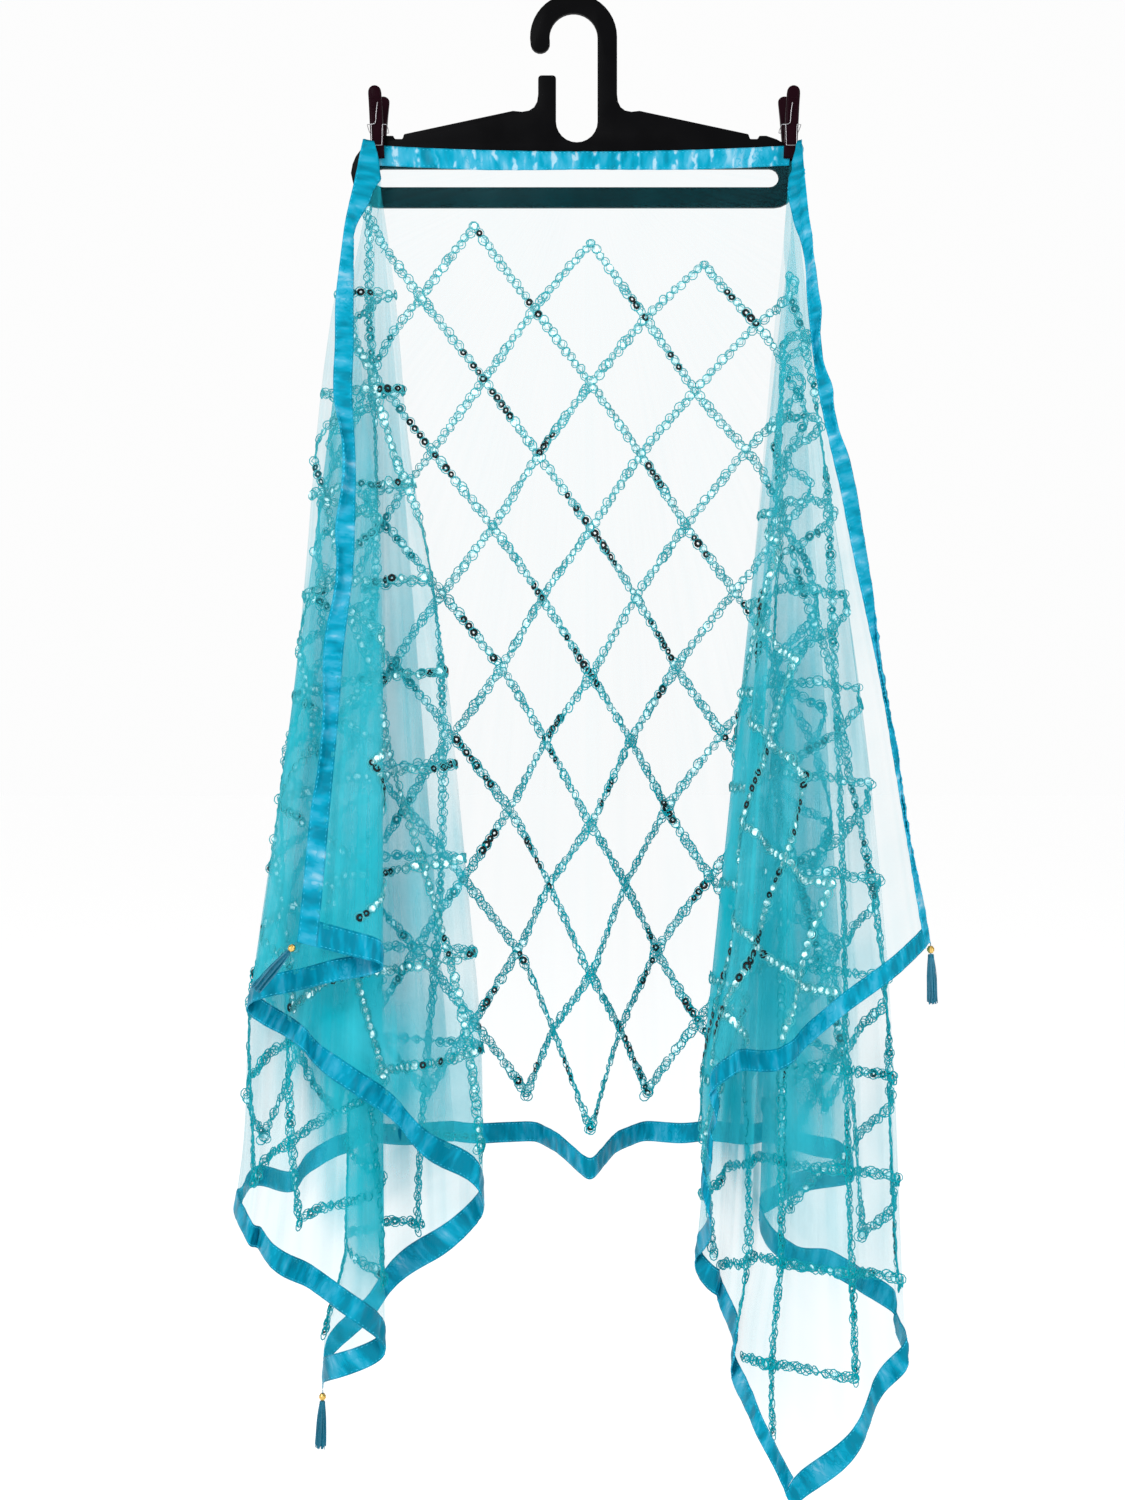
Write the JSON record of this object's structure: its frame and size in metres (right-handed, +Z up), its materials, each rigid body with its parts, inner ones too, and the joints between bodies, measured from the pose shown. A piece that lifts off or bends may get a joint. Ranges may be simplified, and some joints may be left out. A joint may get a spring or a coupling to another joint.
{
  "type": "dupatta stole on a clip hanger",
  "caption": "Long sheer stole with a satin ribbon edge and corner tassels, its long edge held by two clothes pegs on a flat plastic hanger, both ends falling in cascades.",
  "frame": {"origin": "top of the inner curve of the hanger's hook, where a rail or nail carries it", "axes": "+Z up, +X to the right seen from the front, the front of the cloth faces -Y"},
  "size_m": [0.6321, 0.211, 1.3874],
  "materials": {
    "organza": "sheer turquoise organza with a diamond lattice of thread loops and sequins",
    "satin_ribbon": "puckered turquoise satin ribbon, stitched along both edges",
    "tassel_thread": "turquoise silk threads",
    "bead_gold": "polished gold-coloured bead",
    "hanger_plastic": "black plastic, slightly glossy",
    "peg_plastic": "very dark maroon plastic",
    "peg_wire": "bright steel wire"
  },
  "bodies": {
    "root": {"hanger": "hanger_plastic", "left_peg_front": "peg_plastic", "left_peg_rear": "peg_plastic", "left_peg_spring": "peg_wire", "right_peg_front": "peg_plastic", "right_peg_rear": "peg_plastic", "right_peg_spring": "peg_wire", "back_panel": "organza", "back_edge_ribbon": "satin_ribbon", "back_hem_ribbon": "satin_ribbon", "left_stretch_1": "organza", "left_stretch_2": "organza", "left_stretch_3": "organza", "left_stretch_4": "organza", "left_stretch_5": "organza", "left_stretch_6": "organza", "left_edge_ribbon": "satin_ribbon", "left_end_ribbon": "satin_ribbon", "left_hem_ribbon": "satin_ribbon", "left_upper_bead": "bead_gold", "left_upper_tassel": "tassel_thread", "left_lower_bead": "bead_gold", "left_lower_tassel": "tassel_thread", "right_stretch_1": "organza", "right_stretch_2": "organza", "right_stretch_3": "organza", "right_stretch_4": "organza", "right_stretch_5": "organza", "right_stretch_6": "organza", "right_stretch_7": "organza", "right_edge_ribbon": "satin_ribbon", "right_end_ribbon": "satin_ribbon", "right_hem_ribbon": "satin_ribbon", "right_upper_bead": "bead_gold", "right_upper_tassel": "tassel_thread", "right_lower_bead": "bead_gold", "right_lower_tassel": "tassel_thread"}
  },
  "joints": []
}
